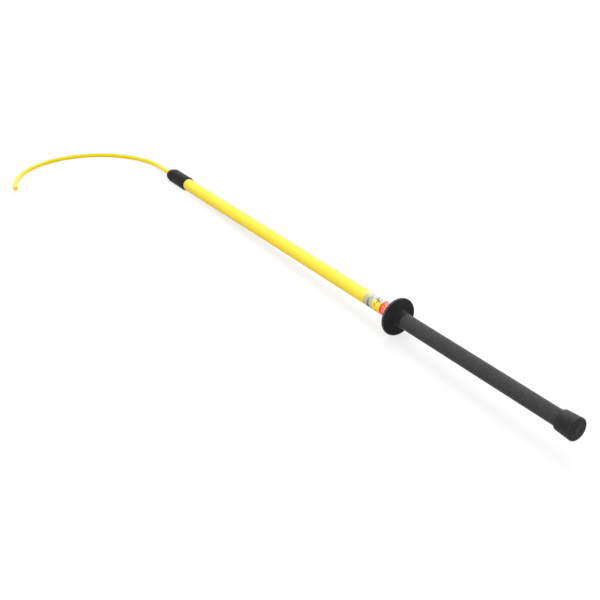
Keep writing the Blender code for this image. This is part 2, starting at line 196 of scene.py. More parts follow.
@dataclass(frozen=True)
class Finish:
    """A real material: its gloss, the bloom at its edges, and the nodes that show it."""

    name: str
    metallic: float = 0.0
    ior: float = 1.5
    specular: float = 0.5
    sheen: float = 0.0
    sheen_tint: str = "#FFFFFF"
    sheen_roughness: float = 0.5
    roughness: tuple[float, float] = (0.5, 0.5)
    depth_mm: float = 0.0

    def material(self) -> bpy.types.Material:
        """Make the finish's material, once.

        Returns:
            The one material of the finish's name.
        """
        made = bpy.data.materials.get(self.name)
        if made is None:
            made = bpy.data.materials.new(self.name)
            made.use_nodes = True
            tree = made.node_tree
            shader = tree.nodes[SHADER]
            shader.inputs["Metallic"].default_value = self.metallic
            shader.inputs["IOR"].default_value = self.ior
            shader.inputs["Specular IOR Level"].default_value = self.specular
            shader.inputs["Sheen Weight"].default_value = self.sheen
            shader.inputs["Sheen Tint"].default_value = linear(self.sheen_tint)
            shader.inputs["Sheen Roughness"].default_value = self.sheen_roughness
            place = add_node(tree, "TexCoord").outputs["Object"]
            colour, patches, height = self.layers(tree, place)
            levels = {"Value": patches, "To Min": self.roughness[0], "To Max": self.roughness[1]}
            uneven = add_node(tree, "MapRange", levels)
            relief = {"Strength": 1.0, "Distance": self.depth_mm * MM, "Height": height}
            bump = add_node(tree, "Bump", relief)
            tree.links.new(colour, shader.inputs["Base Color"])
            tree.links.new(uneven.outputs[0], shader.inputs["Roughness"])
            tree.links.new(bump.outputs[0], shader.inputs["Normal"])
        return made

    def layers(self, tree: Tree, place: Socket) -> Layers:
        """Make the finish's layers.

        Args:
            tree: the material's nodes.
            place: where on the piece, in metres.

        Returns:
            Its colour, patches and relief.
        """
        raise NotImplementedError


@dataclass(frozen=True)
class MouldedPolymer(Finish):
    """Moulded rubber or plastic: an even grain from the mould, dust, and edges rubbed paler, which
    on the grip's ribs and the guard's rim is partly painted highlight.
    """

    specular: float = 0.1
    sheen: float = 0.2
    sheen_tint: str = "#DCDDE1"
    sheen_roughness: float = 0.4
    colour: str = "#303030"
    deep: str = "#262626"
    dust: str = "#6E6A64"
    rubbed_and_lit: str = "#5A5A5A"
    roughness: tuple[float, float] = (0.55, 0.66)
    grain_mm: float = 0.5
    depth_mm: float = 0.03
    clouds: Pattern = even(28.0, 0.35, 0.65)
    specks: Pattern = even(2.4, 0.54, 0.72, 5.0)
    breaks: Pattern = even(5.0, 0.3, 0.62, 4.0)
    dust_share: float = 0.12
    rub_and_light_share: float = 0.6
    rub_and_light_floor: float = 0.0

    def grain(self) -> Pattern:
        """Return the grain that the mould leaves."""
        return even(self.grain_mm, low=0.2, high=0.8, detail=2.0)

    def layers(self, tree: Tree, place: Socket) -> Layers:
        """Make the polymer's layers.

        Args:
            tree: the material's nodes.
            place: where on the piece, in metres.

        Returns:
            Its colour, patches and relief.
        """
        clouds = self.clouds.mask(tree, place)
        ground = lay_over(tree, linear(self.colour), self.deep, clouds)
        dusted = lay_over(tree, ground, self.dust, self.specks.mask(tree, place), self.dust_share)
        # Worn corners get the paler rubbed colour: real wear, and on the grip's rib tops and the
        # guard's rim partly painted highlight, with painted shade left in the grip's grooves.
        wear_and_light = add_node(tree, "Attribute", attribute_name=EDGE_WEAR_AND_LIGHT).outputs["Fac"]
        breaks = {"Value": self.breaks.mask(tree, place), "To Min": self.rub_and_light_floor}
        patchy = add_node(tree, "MapRange", breaks).outputs[0]
        rub_and_light = add_node(tree, "Math", {0: wear_and_light, 1: patchy}, operation="MULTIPLY").outputs[0]
        worn_and_lit = lay_over(tree, dusted, self.rubbed_and_lit, rub_and_light, self.rub_and_light_share)
        grain = self.grain().mask(tree, place)
        return worn_and_lit, clouds, grain


@dataclass(frozen=True)
class PultrudedTube(Finish):
    """Pultruded glass fibre in pigmented resin: faint streaks along it and a chalky bloom."""

    ior: float = 1.55
    specular: float = 0.25
    sheen: float = 0.55
    sheen_tint: str = "#FF9A10"
    colour: str = "#FFE83E"
    deep: str = "#FFE334"
    pale: str = "#FFEE52"
    scuff: str = "#DDB628"
    roughness: tuple[float, float] = (0.42, 0.54)
    clouds: Pattern = Pattern((90.0, 22.0, 22.0), 0.35, 0.7)
    # Fibre bundles are 0.1 mm wide, and are drawn 0.8 mm wide so that they show.
    fibres: Pattern = Pattern((45.0, 0.8, 0.8), 0.3, 0.7)
    fibre_share: float = 0.22
    depth_mm: float = 0.004
    scuffs: Pattern = Pattern((14.0, 0.5, 0.5), 0.68, 0.76, 4.0)
    scuff_share: float = 0.3

    def layers(self, tree: Tree, place: Socket) -> Layers:
        """Make the tube's layers.

        Args:
            tree: the material's nodes.
            place: where on the piece, in metres.

        Returns:
            Its colour, patches and relief.
        """
        clouds = self.clouds.mask(tree, place)
        fibres = self.fibres.mask(tree, place)
        scuffs = self.scuffs.mask(tree, place)
        ground = lay_over(tree, linear(self.colour), self.deep, clouds)
        streaked = lay_over(tree, ground, self.pale, fibres, self.fibre_share)
        scuffed = lay_over(tree, streaked, self.scuff, scuffs, self.scuff_share)
        return scuffed, clouds, fibres


@dataclass(frozen=True)
class VinylSheath(Finish):
    """Extruded PVC: a soft gloss, draw lines along the rod, and deeper colour in patches."""

    ior: float = 1.53
    specular: float = 0.2
    colour: str = "#FFE11E"
    deep: str = "#FBD512"
    soil: str = "#B08E14"
    roughness: tuple[float, float] = (0.27, 0.37)
    lines: Pattern = Pattern((60.0, 0.9, 0.9), 0.3, 0.7)
    depth_mm: float = 0.01
    clouds: Pattern = even(26.0, 0.35, 0.7)
    specks: Pattern = even(1.6, 0.66, 0.78, 4.0)
    soil_share: float = 0.15

    def layers(self, tree: Tree, place: Socket) -> Layers:
        """Make the sheath's layers.

        Args:
            tree: the material's nodes.
            place: where on the piece, in metres.

        Returns:
            Its colour, patches and relief.
        """
        along = add_node(tree, "Attribute", attribute_name=ROD_PLACE).outputs["Vector"]
        lines = self.lines.mask(tree, along)
        clouds = self.clouds.mask(tree, place)
        ground = lay_over(tree, linear(self.colour), self.deep, clouds)
        soiled = lay_over(tree, ground, self.soil, self.specks.mask(tree, place), self.soil_share)
        return soiled, clouds, lines


@dataclass(frozen=True)
class Mark:
    """One plain printed shape on a label, in millimetres along the pole and degrees round it."""

    colour: str
    along_mm: float
    angle: float
    length_mm: float
    width_mm: float
    tilt: float = 0.0
    shape: MarkShape = MarkShape.BAR


@dataclass(frozen=True)
class PrintedFilm(Finish):
    """Printed vinyl film under a clear laminate: flat inks, a soft gloss and small ripples."""

    specular: float = 0.2
    sheen: float = 0.25
    sheen_tint: str = "#FFCB78"
    ground: str = "#E9E9E6"
    start: float = 0.0
    radius: float = 0.0161
    marks: tuple[Mark, ...] = ()
    soil: str = "#8C867A"
    soil_share: float = 0.07
    roughness: tuple[float, float] = (0.35, 0.47)
    ink_cover: Pattern = even(3.0, 0.2, 0.42, 4.0)
    specks: Pattern = even(4.0, 0.5, 0.75, 4.0)
    ripples: Pattern = even(7.0, 0.3, 0.7, 1.0)
    depth_mm: float = 0.03

    def layers(self, tree: Tree, place: Socket) -> Layers:
        """Make the film's layers.

        Args:
            tree: the material's nodes.
            place: where on the piece, in metres.

        Returns:
            Its colour, patches and relief.
        """
        sheet = self.unrolled(tree, place)
        cover = self.ink_cover.mask(tree, place)
        colour: Value = linear(self.ground)
        for mark in self.marks:
            colour = lay_over(tree, colour, mark.colour, self.printed(tree, sheet, mark), cover)
        soiled = lay_over(tree, colour, self.soil, self.specks.mask(tree, place), self.soil_share)
        ripples = self.ripples.mask(tree, place)
        return soiled, ripples, ripples

    def unrolled(self, tree: Tree, place: Socket) -> Socket:
        """Make the place on the unrolled film.

        Args:
            tree: the material's nodes.
            place: where on the piece, in metres.

        Returns:
            Millimetres along the film and round it.
        """
        parts = add_node(tree, "SeparateXYZ", {0: place}).outputs
        turn = add_node(tree, "Math", {0: parts[2], 1: parts[1]}, operation="ARCTAN2")
        offset = add_node(tree, "Math", {0: parts[0], 1: self.start}, operation="SUBTRACT")
        flat = add_node(tree, "CombineXYZ", {0: offset.outputs[0], 1: turn.outputs[0]})
        stretch = {"Vector": flat.outputs[0], "Scale": (1.0 / MM, self.radius / MM, 1.0)}
        return add_node(tree, "Mapping", stretch).outputs[0]

    def printed(self, tree: Tree, sheet: Socket, mark: Mark) -> Socket:
        """Make the mask of one printed shape.

        Args:
            tree: the material's nodes.
            sheet: the place on the unrolled film, in millimetres.
            mark: the shape to print.

        Returns:
            A factor that is 1 inside the shape.
        """
        across_mm = math.radians(mark.angle) * self.radius / MM
        spot = {
            "Vector": sheet,
            "Location": (mark.along_mm, across_mm, 0.0),
            "Rotation": (0.0, 0.0, math.radians(mark.tilt)),
            "Scale": (mark.length_mm, mark.width_mm, 1.0),
        }
        local = add_node(tree, "Mapping", spot, vector_type="TEXTURE").outputs[0]
        if mark.shape is MarkShape.DISC:
            length = add_node(tree, "VectorMath", {0: local}, operation="LENGTH")
            reach = length.outputs["Value"]
        else:
            sides = add_node(tree, "VectorMath", {0: local}, operation="ABSOLUTE")
            apart = add_node(tree, "SeparateXYZ", {0: sides.outputs[0]}).outputs
            further = {0: apart[0], 1: apart[1]}
            reach = add_node(tree, "Math", further, operation="MAXIMUM").outputs[0]
        # A shape's size is 1 here, so its edge lies half of that from its middle.
        inside = {0: reach, 1: 0.5}
        return add_node(tree, "Math", inside, operation="LESS_THAN").outputs[0]


@dataclass(frozen=True)
class ZincPlatedSteel(Finish):
    """Zinc-plated steel: a cool grey metal with a faint patchy bloom."""

    metallic: float = 1.0
    colour: str = "#C9CCCF"
    dull: str = "#A9A79F"
    roughness: tuple[float, float] = (0.28, 0.46)
    bloom: Pattern = even(4.0, 0.4, 0.7, 4.0)
    brushing: Pattern = Pattern((6.0, 0.4, 0.4), 0.2, 0.8)
    depth_mm: float = 0.01

    def layers(self, tree: Tree, place: Socket) -> Layers:
        """Make the metal's layers.

        Args:
            tree: the material's nodes.
            place: where on the piece, in metres.

        Returns:
            Its colour, patches and relief.
        """
        bloom = self.bloom.mask(tree, place)
        plated = lay_over(tree, linear(self.colour), self.dull, bloom)
        brushing = self.brushing.mask(tree, place)
        return plated, bloom, brushing


@dataclass(frozen=True)
class RigidFoam(Finish):
    """Rigid polyurethane foam: cream, matt, with small closed cells."""

    colour: str = "#E8D9A8"
    cell_shade: str = "#C9B67E"
    cell_mm: float = 0.8
    depth_mm: float = 0.2
    roughness: tuple[float, float] = (0.85, 0.95)
    clouds: Pattern = Pattern((30.0, 12.0, 12.0), 0.3, 0.7)

    def layers(self, tree: Tree, place: Socket) -> Layers:
        """Make the foam's layers.

        Args:
            tree: the material's nodes.
            place: where on the piece, in metres.

        Returns:
            Its colour, patches and relief.
        """
        cells = {"Vector": place, "Scale": 1.0 / (self.cell_mm * MM)}
        depth = add_node(tree, "TexVoronoi", cells).outputs["Distance"]
        shaded = lay_over(tree, linear(self.colour), self.cell_shade, depth)
        clouds = self.clouds.mask(tree, place)
        return shaded, clouds, depth


# EPDM rubber, extruded and ground: dark grey, matt, with a dusty sheen that pales its upper edge.
# Its rib tops are painted paler than its grooves: partly rubbed wear, partly painted shade in the
# grooves and painted highlight on the tops.
GRIP_RUBBER = MouldedPolymer(
    name="extruded_epdm_rubber",
    colour="#1C1C1C",
    deep="#181818",
    dust="#6C6963",
    rubbed_and_lit="#505052",
    roughness=(0.61, 0.72),
    specular=0.18,
    sheen=0.45,
    grain_mm=0.6,
    depth_mm=0.015,
    dust_share=0.03,
    rub_and_light_share=1.0,
    rub_and_light_floor=0.85,
)

# Natural rubber, moulded: nearly black and matt, so that the disc reads darker than the grip. Its
# rim's rounded edges are painted paler: partly rubbed wear, partly painted highlight.
GUARD_RUBBER = MouldedPolymer(
    name="moulded_natural_rubber",
    colour="#2B2B2B",
    deep="#252525",
    dust="#5C5955",
    rubbed_and_lit="#6A6A6A",
    roughness=(0.57, 0.68),
    specular=0.05,
    sheen=0.16,
    dust_share=0.08,
    rub_and_light_share=1.0,
    rub_and_light_floor=0.6,
)

# SBR rubber, moulded: dark grey with dusty scuffs on the shoulder and sole that meet the ground.
FERRULE_RUBBER = MouldedPolymer(
    name="moulded_sbr_rubber",
    colour="#222222",
    deep="#1D1D1D",
    dust="#6E6B66",
    rubbed_and_lit="#565656",
    roughness=(0.61, 0.72),
    specular=0.22,
    grain_mm=0.6,
    dust_share=0.1,
    rub_and_light_floor=0.55,
)

# Polypropylene, moulded: black and satin, with worn edges that catch the light.
COLLAR_PLASTIC = MouldedPolymer(
    name="moulded_polypropylene",
    colour="#151515",
    deep="#111111",
    dust="#5F5C58",
    rubbed_and_lit="#4C4C4C",
    roughness=(0.53, 0.64),
    specular=0.12,
    sheen=0.12,
    ior=1.49,
    depth_mm=0.02,
    dust_share=0.03,
)

# Polyamide, machined: an even black with fine tool marks.
PLUG_NYLON = MouldedPolymer(
    name="machined_polyamide",
    colour="#3B3B3C",
    deep="#333334",
    roughness=(0.37, 0.48),
    specular=0.4,
    sheen=0.0,
    ior=1.53,
    grain_mm=0.35,
    depth_mm=0.015,
    dust_share=0.06,
)

# Nitrile rubber, moulded: smooth and slightly oily black.
SEAL_NITRILE = MouldedPolymer(
    name="moulded_nitrile_rubber",
    colour="#202021",
    deep="#1A1A1B",
    roughness=(0.45, 0.56),
    specular=0.4,
    sheen=0.0,
    ior=1.52,
    grain_mm=0.3,
    depth_mm=0.008,
    dust_share=0.04,
)

# Glass fibre in resin, pultruded: bright yellow, with a chalky bloom that turns its edges golden.
TUBE_RESIN = PultrudedTube(name="pultruded_glass_fibre_resin")

# PVC, extruded: a slightly deeper yellow than the tube's, and smoother.
SHEATH_VINYL = VinylSheath(name="extruded_pvc")

# Steel, zinc-plated: a cool grey shine on the rod, nut, washers and pin.
ZINC_STEEL = ZincPlatedSteel(name="zinc_plated_steel")

# Polyurethane, foamed: cream and matt in the bore of the tube.
TUBE_FOAM = RigidFoam(name="rigid_polyurethane_foam")


@dataclass(frozen=True)
class Corner:
    """One corner of a turned profile."""

    along: float
    radius: float
    round_off: float = 0.0
    wear_and_light: float = 0.0


def soften(corners: list[Corner], closed: bool, steps: int = ARC_STEPS) -> list[Corner]:
    """Round the corners of a profile that have a fillet.

    Args:
        corners: the profile in order.
        closed: whether its last corner joins its first.
        steps: how many segments a fillet gets.

    Returns:
        The profile with an arc for each fillet, and an unworn point on each side of a worn arc.
    """
    points: list[Corner] = []
    count = len(corners)
    for index, corner in enumerate(corners):
        at_end = not closed and index in (0, count - 1)
        if corner.round_off == 0.0 or at_end:
            points.append(corner)
            continue
        here = Vector((corner.along, corner.radius))
        before = corners[index - 1]
        after = corners[(index + 1) % count]
        back = Vector((before.along, before.radius)) - here
        ahead = Vector((after.along, after.radius)) - here
        half = back.angle(ahead) / 2
        reach = corner.round_off / math.tan(half)
        back.normalize()
        ahead.normalize()
        centre = here + (back + ahead).normalized() * corner.round_off / math.sin(half)
        first = here + back * reach - centre
        last = here + ahead * reach - centre
        sweep = first.angle_signed(last)
        arc = []
        for step in range(steps + 1):
            spoke = first.copy()
            spoke.rotate(Matrix.Rotation(-sweep * step / steps, 2))
            arc.append(Corner(centre.x + spoke.x, centre.y + spoke.y, 0.0, corner.wear_and_light))
        if corner.wear_and_light:
            lead = here + back * (reach + WEAR_REACH)
            tail = here + ahead * (reach + WEAR_REACH)
            arc = [Corner(lead.x, lead.y), *arc, Corner(tail.x, tail.y)]
        points += arc
    return points


def closed_mesh(name: str, build: bmesh.types.BMesh) -> Mesh:
    """Finish a closed mesh in work.

    Args:
        name: the mesh's name.
        build: the mesh in work, which is freed.

    Returns:
        The mesh, with its faces pointing out.
    """
    bmesh.ops.recalc_face_normals(build, faces=build.faces)
    mesh = bpy.data.meshes.new(name)
    build.to_mesh(mesh)
    build.free()
    return mesh


def turned_mesh(name: str, profile: list[Corner], sides: int, closed: bool) -> Mesh:
    """Turn a profile about the pole's axis.

    Args:
        name: the mesh's name.
        profile: its points in order; a point of radius 0 lies on the axis.
        sides: how many facets go round.
        closed: whether the last point joins the first.

    Returns:
        A closed mesh that carries the profile's wear.
    """
    build = bmesh.new()
    wear_and_light = build.verts.layers.float.new(EDGE_WEAR_AND_LIGHT)
    rings: list[Ring] = []
    for point in profile:
        around = sides if point.radius > 0.0 else 1
        ring = []
        for side in range(around):
            angle = 2 * math.pi * side / sides
            across = point.radius * math.cos(angle)
            up = point.radius * math.sin(angle)
            vertex = build.verts.new((point.along, across, up))
            vertex[wear_and_light] = point.wear_and_light
            ring.append(vertex)
        rings.append(ring)
    pairs = list(zip(rings, rings[1:]))
    if closed:
        pairs.append((rings[-1], rings[0]))
    for first, second in pairs:
        join_rings(build, first, second)
    return closed_mesh(name, build)


def join_rings(build: bmesh.types.BMesh, first: Ring, second: Ring) -> None:
    """Join two rings of vertices with faces; a ring of one vertex is a point on the axis.

    Args:
        build: the mesh in work.
        first: one ring.
        second: the next ring.
    """
    count = max(len(first), len(second))
    if count == 1:
        return
    for side in range(count):
        after = (side + 1) % count
        corners = [first[side % len(first)], first[after % len(first)]]
        corners += [second[after % len(second)], second[side % len(second)]]
        build.faces.new(list(dict.fromkeys(corners)))


def add_object(data: bpy.types.ID) -> bpy.types.Object:
    """Put an object of a mesh, a light or a camera into the scene.

    Args:
        data: what the object shows, which gives it its name.

    Returns:
        The new object.
    """
    made = bpy.data.objects.new(data.name, data)
    bpy.context.scene.collection.objects.link(made)
    return made


def dress(mesh: Mesh, finish: Finish, body: Body, node: str) -> None:
    """Make a piece of a mesh, which rides on its body in place of a CAD node.

    Args:
        mesh: the piece's mesh, which gives it its name.
        finish: what it is made of.
        body: what it moves with.
        node: the CAD node that it stands for.
    """
    mesh.shade_smooth()
    mesh.set_sharp_from_angle(angle=SHARP_ANGLE)
    mesh.materials.clear()
    mesh.materials.append(finish.material())
    piece = add_object(mesh)
    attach(piece, body.value)
    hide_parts(node)
    LOG.info("%s: %d faces on body %s", piece.name, len(mesh.polygons), body.value)


def span(node: str) -> tuple[float, float]:
    """Return where a CAD node starts and ends along the pole."""
    low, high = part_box(node)
    return low[0], high[0]


def outer_radius(node: str) -> float:
    """Return how far a CAD node reaches from the pole's axis."""
    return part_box(node)[1][2]


@dataclass
class RubberFerrule:
    """Rubber tip with a flared side, a rounded lip and a ringed, domed sole."""

    sides: int = 96
    length: float = span("ferrule")[1]
    floor: float = 0.0085
    socket_radius: float = 0.0178
    socket_round: float = 0.0004
    mouth_radius: float = 0.0223
    foot_radius: float = 0.0248
    crown: float = 0.0043
    shoulder_round: float = 0.0022
    shoulder_wear: float = 0.4
    shoulder_steps: int = 8
    lip_round: float = 0.0012
    lip_wear: float = 0.5
    sole_wear: float = 0.05
    dome_steps: int = 12
    groove_radii: tuple[float, ...] = (0.0187, 0.0146)
    groove_width: float = 0.0015
    groove_depth: float = 0.0009
    groove_wear: float = 0.4
    disc_radius: float = 0.0105
    disc_step: float = 0.0008
    disc_round: float = 0.0003
    disc_wear: float = 0.5
    disc_steps: int = 3
    dimple_radius: float = 0.00168
    dimple_floor_radius: float = 0.00084
    dimple_depth: float = 0.0004

    def dome(self, radius: float) -> float:
        """Return how far the sole lies behind its disc at a radius."""
        return self.disc_step + self.crown * (radius / self.foot_radius) ** 2

    def groove(self, radius: float) -> list[Corner]:
        """Return the points of one ring groove, outer edge first.

        Args:
            radius: the groove's own radius.

        Returns:
            Five points across the groove.
        """
        shares = ((0.5, 0.0), (0.3, 0.7), (0.0, 1.0), (-0.3, 0.7), (-0.5, 0.0))
        points = []
        for across, depth in shares:
            place = radius + across * self.groove_width
            wear_and_light = 0.0 if depth else self.groove_wear
            points.append(Corner(self.dome(place) + depth * self.groove_depth, place, 0.0, wear_and_light))
        return points

    def sole(self) -> list[Corner]:
        """Draw the sole's profile.

        Returns:
            Its points, from inside the shoulder to the axis.
        """
        points: list[Corner] = []
        inner = self.disc_radius + self.disc_step
        outer = self.foot_radius - self.shoulder_round - WEAR_REACH
        for step in range(self.dome_steps + 1):
            radius = outer + (inner - outer) * step / self.dome_steps
            near = any(abs(radius - place) < self.groove_width for place in self.groove_radii)
            if not near:
                points.append(Corner(self.dome(radius), radius, 0.0, self.sole_wear))
        for radius in self.groove_radii:
            points += self.groove(radius)
        points.sort(key=lambda point: -point.radius)
        disc = [
            Corner(0.0, self.disc_radius, self.disc_round, self.disc_wear),
            Corner(0.0, self.dimple_radius),
            Corner(self.dimple_depth, self.dimple_floor_radius),
            Corner(self.dimple_depth, 0.0),
        ]
        return points + soften([points[-1], *disc], closed=False, steps=self.disc_steps)[1:]

    def build(self) -> None:
        """Build the ferrule and dress it."""
        sole = self.sole()
        foot = self.dome(self.foot_radius)
        upper = [
            Corner(self.floor, 0.0),
            Corner(self.floor, self.socket_radius),
            Corner(self.length, self.socket_radius, self.socket_round),
            Corner(self.length, self.mouth_radius, self.lip_round, self.lip_wear),
            Corner(foot, self.foot_radius, self.shoulder_round, self.shoulder_wear),
            sole[0],
        ]
        profile = soften(upper, closed=False, steps=self.shoulder_steps)[:-1] + sole
        mesh = turned_mesh("ferrule_rubber_tip", profile, self.sides, closed=False)
        dress(mesh, FERRULE_RUBBER, Body.FERRULE, "ferrule")


@dataclass
class RibbedGrip:
    """Rubber sleeve with fine ribs along it, from the butt to the guard's hub.

    The real ribs are 2.8 mm apart, 40 of them, and are drawn 3.4 mm apart so that they show.
    """

    start: float = span("grip_sleeve")[0]
    hub_start: float = span("hand_guard")[0]
    hub_gap: float = 0.00005
    radius: float = outer_radius("grip_sleeve")
    ribs: int = 32
    groove_depth: float = 0.0009
    end_round: float = 0.0004
    sections: int = 12
    # One rib and its groove: the share of the pitch, the share of the depth, and the wear. The wear
    # paints the rib tops paler than the grooves: partly rubbed wear, partly painted shade in the
    # grooves and painted highlight on the tops.
    rib_points: tuple[tuple[float, float, float], ...] = (
        (0.00, 0.0, 0.9),
        (0.24, 0.0, 0.6),
        (0.48, 0.0, 0.9),
        (0.56, 0.55, 0.1),
        (0.66, 1.0, 0.0),
        (0.82, 1.0, 0.0),
        (0.92, 0.55, 0.1),
    )

    def ring(self, build: bmesh.types.BMesh, along: float, radius: float, depth: float) -> Ring:
        """Add one ring of the sleeve's section.

        Args:
            build: the mesh in work, which has the wear layer.
            along: the ring's station.
            radius: how far out the ribs' tops lie.
            depth: how deep the grooves are, or 0 for a plain circle.

        Returns:
            The ring's vertices.
        """
        wear_and_light = build.verts.layers.float[EDGE_WEAR_AND_LIGHT]
        ring = []
        for rib in range(self.ribs):
            for share, sunk, worn_and_lit in self.rib_points:
                angle = 2 * math.pi * (rib + share) / self.ribs
                reach = radius - sunk * depth
                vertex = build.verts.new((along, reach * math.cos(angle), reach * math.sin(angle)))
                vertex[wear_and_light] = worn_and_lit if depth else 0.0
                ring.append(vertex)
        return ring

    def build(self) -> None:
        """Build the grip and dress it."""
        build = bmesh.new()
        build.verts.layers.float.new(EDGE_WEAR_AND_LIGHT)
        end = self.hub_start - self.hub_gap
        first = self.start + self.end_round
        last = end - self.end_round
        end_radius = self.radius - self.end_round
        rings = [self.ring(build, self.start, SLEEVE_BORE, 0.0)]
        rings.append(self.ring(build, self.start, end_radius, self.groove_depth / 2))
        for section in range(self.sections + 1):
            along = first + (last - first) * section / self.sections
            rings.append(self.ring(build, along, self.radius, self.groove_depth))
        rings.append(self.ring(build, end, end_radius, self.groove_depth / 2))
        rings.append(self.ring(build, end, SLEEVE_BORE, 0.0))
        for before, after in zip(rings, rings[1:] + rings[:1]):
            join_rings(build, before, after)
        mesh = closed_mesh("grip_ribbed_sleeve", build)
        dress(mesh, GRIP_RUBBER, Body.POLE, "grip_sleeve")


@dataclass
class HandGuard:
    """Rubber disc with a hub on the hand's side and a seat for the stop ring."""

    sides: int = 120
    hub_start: float = span("hand_guard")[0]
    front: float = span("hand_guard")[1]
    thickness: float = 0.0045
    radius: float = outer_radius("hand_guard")
    rim_round: float = 0.0014
    # The rim's wear paints its rounded edges paler: partly rubbed wear, partly painted highlight.
    rim_wear_and_highlight: float = 0.8
    hub_end_radius: float = 0.0179
    hub_end_round: float = 0.0006
    hub_end_wear: float = 0.5
    hub_root_radius: float = 0.0192
    root_fillet: float = 0.0026
    recess_radius: float = 0.0198
    recess_depth: float = 0.0027
    recess_round: float = 0.0004
    recess_wear: float = 0.4

    def build(self) -> None:
        """Build the guard and dress it."""
        back = self.front - self.thickness
        recess_floor = self.front - self.recess_depth
        corners = [
            Corner(self.front, self.recess_radius, self.recess_round, self.recess_wear),
            Corner(self.front, self.radius, self.rim_round, self.rim_wear_and_highlight),
            Corner(back, self.radius, self.rim_round, self.rim_wear_and_highlight),
            Corner(back, self.hub_root_radius, self.root_fillet),
            Corner(self.hub_start, self.hub_end_radius, self.hub_end_round, self.hub_end_wear),
            Corner(self.hub_start, SLEEVE_BORE),
            Corner(recess_floor, SLEEVE_BORE),
            Corner(recess_floor, self.recess_radius),
        ]
        mesh = turned_mesh("guard_disc", soften(corners, closed=True), self.sides, closed=True)
        dress(mesh, GUARD_RUBBER, Body.POLE, "hand_guard")


@dataclass
class InsulatingTube:
    """Glass-fibre tube with small chamfers at its ends and a hole for the cross pin."""

    sides: int = 96
    start: float = span("pole_tube")[0]
    end: float = span("pole_tube")[1]
    radius: float = outer_radius("pole_tube")
    bore: float = 0.013
    end_round: float = 0.0003
    end_steps: int = 3
    pin_station: float = sum(span("cross_pin")) / 2
    pin_hole_radius: float = 0.0023
    pin_hole_sides: int = 32
    hole_margin: float = 0.008

    def build(self) -> None:
        """Build the tube and dress it."""
        before = self.pin_station - self.hole_margin
        after = self.pin_station + self.hole_margin
        corners = [
            Corner(self.start, self.bore),
            Corner(self.start, self.radius, self.end_round),
            Corner(before, self.radius),
            Corner(after, self.radius),
            Corner(self.end, self.radius, self.end_round),
            Corner(self.end, self.bore),
            Corner(after, self.bore),
            Corner(before, self.bore),
        ]
        profile = soften(corners, closed=True, steps=self.end_steps)
        blank = turned_mesh("tube_blank", profile, self.sides, closed=True)
        dress(self.drilled(blank), TUBE_RESIN, Body.POLE, "pole_tube")

    def drilled(self, blank: Mesh) -> Mesh:
        """Drill the cross pin's hole.

        Args:
            blank: the tube without its hole.

        Returns:
            The tube's mesh with a hole right through it.
        """
        drill = bmesh.new()
        bmesh.ops.create_cone(
            drill,
            cap_ends=True,
            segments=self.pin_hole_sides,
            radius1=self.pin_hole_radius,
            radius2=self.pin_hole_radius,
            depth=4 * self.radius,
            matrix=Matrix.Translation((self.pin_station, 0.0, 0.0)),
        )
        cutter = add_object(closed_mesh("pin_drill", drill))
        tube = add_object(blank)
        cut = tube.modifiers.new("pin_hole", "BOOLEAN")
        cut.operation = "DIFFERENCE"
        cut.solver = "EXACT"
        cut.object = cutter
        depsgraph = bpy.context.evaluated_depsgraph_get()
        drilled = bpy.data.meshes.new_from_object(tube.evaluated_get(depsgraph))
        drilled.name = "tube_insulating"
        for item in (cutter, tube):
            bpy.data.objects.remove(item, do_unlink=True)
        return drilled


